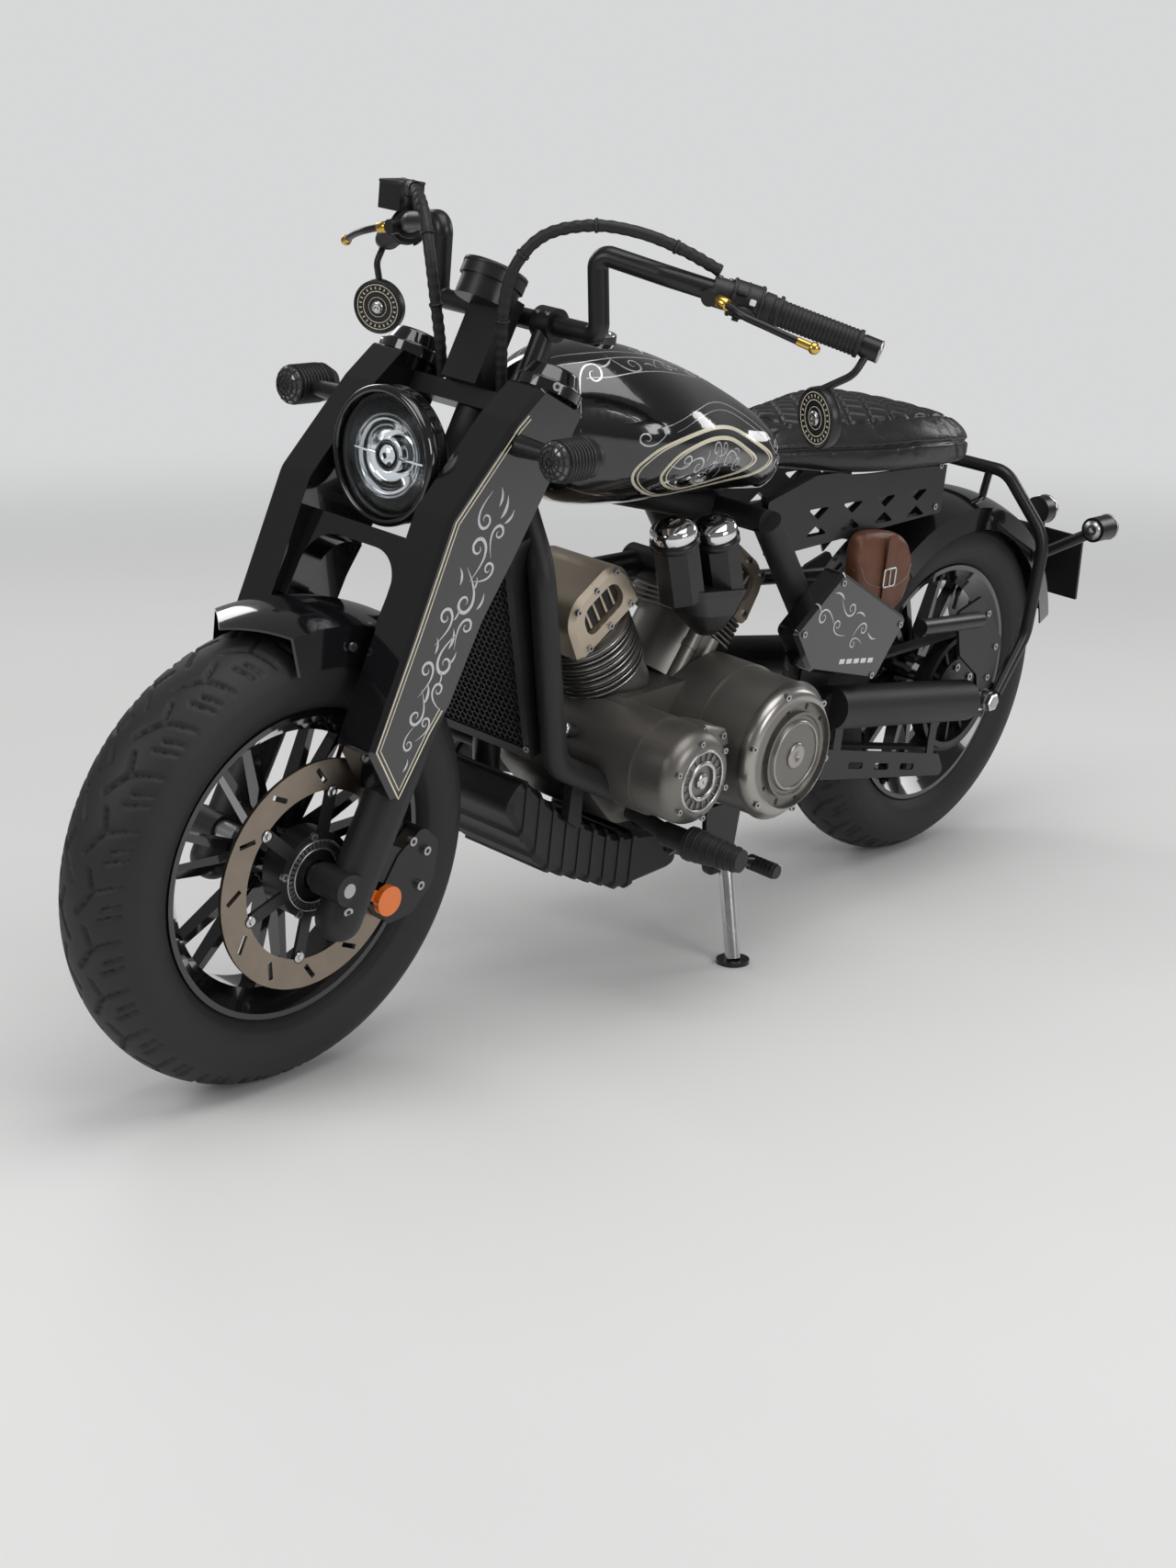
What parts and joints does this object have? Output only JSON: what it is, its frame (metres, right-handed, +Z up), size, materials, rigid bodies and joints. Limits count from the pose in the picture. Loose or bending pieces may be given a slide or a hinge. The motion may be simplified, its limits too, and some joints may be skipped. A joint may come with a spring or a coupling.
{
  "type": "cruiser motorcycle",
  "caption": "Low black V-twin cruiser motorcycle leaning on its side stand, with a teardrop tank, girder-style fork covers, quilted solo seat, belt drive and cast wheels.",
  "frame": {"origin": "on the floor, under the middle of the machine's box as it leans on its side stand", "axes": "+X forward along the wheels' line, +Y to the rider's left, +Z up"},
  "size_m": [2.2189, 0.9363, 1.1854],
  "materials": {
    "gloss_black": "deep gloss black paint",
    "crinkle_black": "matt crinkle black paint",
    "satin_black": "satin black paint",
    "tyre_rubber": "dull rubber",
    "soft_rubber": "moulded rubber",
    "black_leather": "quilted black leather",
    "case_grey": "warm grey baked paint on castings",
    "head_champagne": "champagne satin metal",
    "steel": "brushed steel",
    "bronze_disc": "heat-tinted brake steel",
    "dark_plastic": "moulded black plastic",
    "lens_glass": "clear lens",
    "amber_lens": "orange reflector",
    "brown_leather": "brown leather"
  },
  "bodies": {
    "chassis": {"belly_box": "crinkle_black", "belt_guard": "satin_black", "brake_pedal": "satin_black", "cradle": "crinkle_black", "cylinders": "case_grey", "drive_belt": "soft_rubber", "engine_case": "case_grey", "engine_covers": "case_grey", "exhaust_pipes": "satin_black", "fuel_cap": "gloss_black", "fuel_tank": "gloss_black", "head_covers": "head_champagne", "intake_cover": "satin_black", "main_frame": "crinkle_black", "passenger_pegs": "satin_black", "plate_holder": "satin_black", "radiator_core": "satin_black", "radiator_frame": "satin_black", "rear_axle": "steel", "rear_fender": "gloss_black", "rear_hoop": "satin_black", "rear_signals": "satin_black", "rider_pegs": "soft_rubber", "seat": "black_leather", "seat_plates": "satin_black", "shift_lever": "satin_black", "side_boxes": "gloss_black", "side_pouch": "brown_leather", "stand_bracket": "satin_black", "swingarm": "crinkle_black"},
    "front_wheel": {"front_tyre": "tyre_rubber", "front_rim": "gloss_black", "front_disc": "bronze_disc", "front_carrier": "satin_black"},
    "rear_wheel": {"rear_tyre": "tyre_rubber", "rear_rim": "gloss_black", "rear_disc": "bronze_disc", "rear_pulley": "satin_black"},
    "side_stand": {"stand_leg": "steel", "stand_foot": "satin_black"},
    "fork": {"fork_legs": "crinkle_black", "fork_covers": "gloss_black", "fork_caps": "gloss_black", "yokes": "satin_black", "fork_arch": "gloss_black", "headlight_shell": "gloss_black", "headlight_glass": "lens_glass", "front_fender": "gloss_black", "front_axle": "steel", "front_caliper": "satin_black", "front_reflector": "amber_lens", "front_signals": "satin_black", "handlebar": "satin_black", "risers": "satin_black", "grips": "soft_rubber", "switch_pods": "dark_plastic", "levers": "satin_black", "mirrors": "satin_black", "gauge": "satin_black", "cables": "soft_rubber"}
  },
  "joints": [
    {"name": "steering", "type": "hinge", "parent": "chassis", "child": "fork", "pos_m": [0.73253, -0.08382, 0.2967], "axis": [-0.4226, 0.1026, 0.9005], "range_deg": [-30, 30]},
    {"name": "front_wheel_spin", "type": "hinge", "parent": "fork", "child": "front_wheel", "pos_m": [0.786, -0.081, 0.32147], "axis": [0, 0.9936, -0.1132], "continuous": true},
    {"name": "rear_wheel_spin", "type": "hinge", "parent": "chassis", "child": "rear_wheel", "pos_m": [-0.714, -0.081, 0.32147], "axis": [0, 0.9936, -0.1132], "continuous": true},
    {"name": "stand_fold", "type": "hinge", "parent": "chassis", "child": "side_stand", "pos_m": [-0.03, 0.05293, 0.15423], "axis": [0, 0.9936, -0.1132], "range_deg": [0, 90]}
  ]
}
